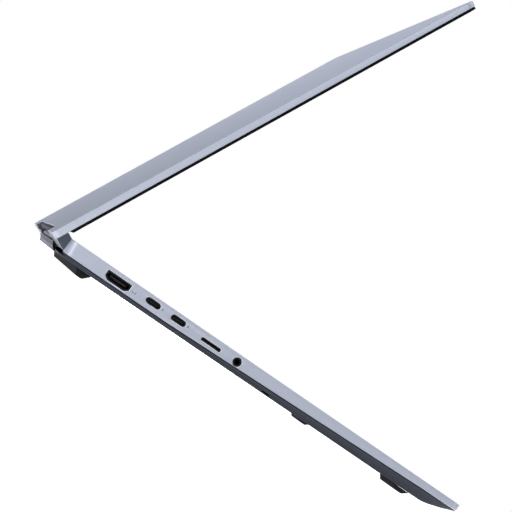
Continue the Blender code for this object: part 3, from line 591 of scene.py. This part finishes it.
def make_webcam():
    """The domed lens in front of the webcam, behind the bezel's hole."""
    low, high = box_in("webcam_module", LID)
    cx, cu = (low.x + high.x) / 2, (low.y + high.y) / 2
    bm = bmesh.new()
    stack(bm, [circle(cx, cu, radius, low.z + w, LENS_TURNS) for radius, w in LENS_PROFILE])
    piece("webcam_lens", bm, LENS, LID, "lid", smooth_deg=60)


# ---------------------------------------------------------------- printed signs

BOLT = [((-2.1, 0.55), (-1.6, 0.1)), ((-1.6, 0.1), (-2.1, -0.05)), ((-2.1, -0.05), (-1.6, -0.5))]
MARKS = {  # port: strokes of its sign, as (from, to) in mm ahead of the port's front end and above its middle
    "video_port": [((-4.2, -0.35), (-2.0, -0.35)), ((-4.2, 0.55), (-4.2, -0.35)),
                   ((-2.0, 0.2), (-2.0, -0.35))],
    "type_c_port_rear": BOLT, "type_c_port_front": BOLT,
}
MARK_HALF_WIDTH, MARK_SUNK, MARK_LIFT = 0.13, 0.02, 0.015


def make_marks():
    """Small printed line signs on the left wall, one in front of each of three ports."""
    wall = box_in("top_case", DECK)[0].x
    for port, strokes in MARKS.items():
        low, high = box_in(port, DECK)
        middle = (low.z + high.z) / 2
        bm = bmesh.new()
        for start, end in strokes:
            a, b = (Vector((low.y + y, middle + z)) for y, z in (start, end))
            along = (b - a).normalized() * MARK_HALF_WIDTH
            across = Vector((-along.y, along.x))
            corners = [a - along - across, b + along - across, b + along + across, a - along + across]
            stack(bm, [[(x, y, z) for y, z in corners] for x in (wall + MARK_SUNK, wall - MARK_LIFT)])
        piece(port + "_mark", bm, MARK, DECK, "base")


# ---------------------------------------------------------------- stage

CAMERA_AT = (-1.01676, 0.17106, 0.00768)
HEADING_DEG, PITCH_DEG, ROLL_DEG = -8.981, 3.735, 33.955
LENS_MM, SENSOR_MM = 110.6, 36.0
CLIP_M = (0.01, 200)

FLOOR_HALF_M, FLOOR_DRIFT_MM = 30, 400
FLOOR_TONES = ((0.90, 0.90, 0.905), (0.93, 0.93, 0.93))
FLOOR_GLOW, FLOOR_GLOW_SEEN = 0.45, 1.2  # on the object, and as the camera sees it

LEFT_TINT, RIGHT_TINT = (0.60, 0.62, 0.65), (0.50, 0.53, 0.62)
HORIZON_LEVEL, HIGH_LEVEL, HIGH_FROM = 0.85, 1.4, 0.35
DEPTH_STOPS = (  # how bright the surround is from the front (y = -1) to the back (y = 1)
    (-1.0, 0.35), (-0.93, 0.5), (-0.84, 1.7), (-0.62, 0.5), (-0.36, 0.25), (-0.08, 1.60), (0.20, 0.45),
    (0.85, 0.45), (1.0, 0.30),
)

LIGHTS = (  # name, place, aim, (width, height) in metres, watts, tint, whether it shows in reflections
    ("softbox_above", (0.0, -0.1, 1.6), (0, 0, 0.1), (1.6, 1.6), 5.0, (1, 1, 1), True),
    ("softbox_front", (0.4, -1.7, 0.9), (0, 0, 0.1), (1.4, 0.8), 6.0, (1, 1, 1), True),
    ("softbox_left", (-1.5, 0.4, 0.9), (0, 0, 0.1), (1.0, 0.8), 1.6, (0.97, 0.98, 1.0), True),
    ("panel_right_rear", (0.60, 0.30, 0.35), (0.1, 0.07, 0.12), (0.35, 0.35), 4.5, (1, 1, 1), False),
    ("strip_left_rear", (-1.25, 0.95, 0.25), (-0.17, 0.12, 0.01), (0.30, 0.8), 3.0, (1, 1, 1), True),
)


def make_camera():
    data = bpy.data.cameras.new("camera")
    data.lens, data.sensor_width = LENS_MM, SENSOR_MM
    data.clip_start, data.clip_end = CLIP_M
    camera = bpy.data.objects.new("camera", data)
    h, p = math.radians(HEADING_DEG), math.radians(PITCH_DEG)
    forward = Vector((math.cos(h) * math.cos(p), math.sin(h) * math.cos(p), math.sin(p)))
    camera.rotation_mode = "QUATERNION"
    camera.rotation_quaternion = (forward.to_track_quat("-Z", "Y") @
                                  Quaternion((0, 0, 1), math.radians(ROLL_DEG)))
    camera.location = CAMERA_AT
    bpy.context.scene.collection.objects.link(camera)
    bpy.context.scene.camera = camera


def make_floor():
    """A plain pale floor that glows like a lit table, so that shadows stay faint, and is clear from below."""
    bm = bmesh.new()
    bmesh.ops.create_grid(bm, x_segments=8, y_segments=8, size=FLOOR_HALF_M)
    mesh = bpy.data.meshes.new("floor")
    bm.to_mesh(mesh)
    bm.free()
    made, tree, shader, add = material("pale_floor")
    link = tree.links.new
    setup(shader, Roughness=0.9, Specular_IOR_Level=0.0)
    tone = ramp(tree, add, noise(tree, add, FLOOR_DRIFT_MM, 3.0), 0.3, 0.7, *FLOOR_TONES)
    seen, facing = add("ShaderNodeLightPath"), add("ShaderNodeNewGeometry")
    glow = ramp(tree, add, seen.outputs["Is Camera Ray"], 0.0, 1.0, FLOOR_GLOW, FLOOR_GLOW_SEEN)
    clear, mix = add("ShaderNodeBsdfTransparent"), add("ShaderNodeMixShader")
    link(tone, shader.inputs["Base Color"])
    link(tone, shader.inputs["Emission Color"])
    link(glow, shader.inputs["Emission Strength"])
    link(facing.outputs["Backfacing"], mix.inputs["Fac"])
    link(shader.outputs["BSDF"], mix.inputs[1])
    link(clear.outputs["BSDF"], mix.inputs[2])
    link(mix.outputs["Shader"], tree.nodes["Material Output"].inputs["Surface"])
    mesh.materials.append(made)
    floor = bpy.data.objects.new("floor", mesh)
    bpy.context.scene.collection.objects.link(floor)


def make_world():
    """Pale studio surround for light and reflections; what the camera sees directly is white."""
    world = bpy.data.worlds.new("studio")
    world.use_nodes = True
    bpy.context.scene.world = world
    tree = world.node_tree
    tree.nodes.clear()
    add, link = adder(tree), tree.links.new
    direction, split = add("ShaderNodeTexCoord"), add("ShaderNodeSeparateXYZ")
    link(direction.outputs["Generated"], split.inputs["Vector"])
    side = ramp(tree, add, split.outputs["X"], -0.9, 0.9, 0.0, 1.0)
    tint = ramp(tree, add, side, 0.0, 1.0, LEFT_TINT, RIGHT_TINT)
    rise = ramp(tree, add, split.outputs["Z"], 0.0, HIGH_FROM, HORIZON_LEVEL, HIGH_LEVEL)
    along = ramp(tree, add, split.outputs["Y"], -1.0, 1.0, 0.0, 1.0)
    depth = add("ShaderNodeValToRGB")
    stops = depth.color_ramp.elements
    for y, _ in DEPTH_STOPS[1:-1]:
        stops.new((y + 1) / 2)
    for stop, (y, level) in zip(stops, DEPTH_STOPS):
        stop.position, stop.color = (y + 1) / 2, (level, level, level, 1)
    strength = add("ShaderNodeMath", operation="MULTIPLY")
    link(along, depth.inputs["Fac"])
    link(rise, strength.inputs[0])
    link(depth.outputs["Color"], strength.inputs[1])
    surround, backdrop = add("ShaderNodeBackground"), add("ShaderNodeBackground", Color=(1, 1, 1, 1))
    link(tint, surround.inputs["Color"])
    link(strength.outputs["Value"], surround.inputs["Strength"])
    seen, mix, out = add("ShaderNodeLightPath"), add("ShaderNodeMixShader"), add("ShaderNodeOutputWorld")
    link(seen.outputs["Is Camera Ray"], mix.inputs["Fac"])
    link(surround.outputs["Background"], mix.inputs[1])
    link(backdrop.outputs["Background"], mix.inputs[2])
    link(mix.outputs["Shader"], out.inputs["Surface"])


def make_lights():
    for name, at, aim, size, watts, tint, glossy in LIGHTS:
        data = bpy.data.lights.new(name, "AREA")
        data.shape, data.size, data.size_y = "RECTANGLE", *size
        data.energy, data.color = watts, tint
        light = bpy.data.objects.new(name, data)
        light.location = at
        light.rotation_mode = "QUATERNION"
        light.rotation_quaternion = (Vector(aim) - Vector(at)).to_track_quat("-Z", "Y")
        light.visible_camera, light.visible_glossy = False, glossy
        bpy.context.scene.collection.objects.link(light)


def make_stage():
    make_camera()
    make_floor()
    make_world()
    make_lights()
    view = bpy.context.scene.view_settings
    view.view_transform, view.look = "Standard", "None"


dress_nodes()
make_keyboard()
make_screws()
make_contacts()
make_webcam()
make_marks()
make_stage()
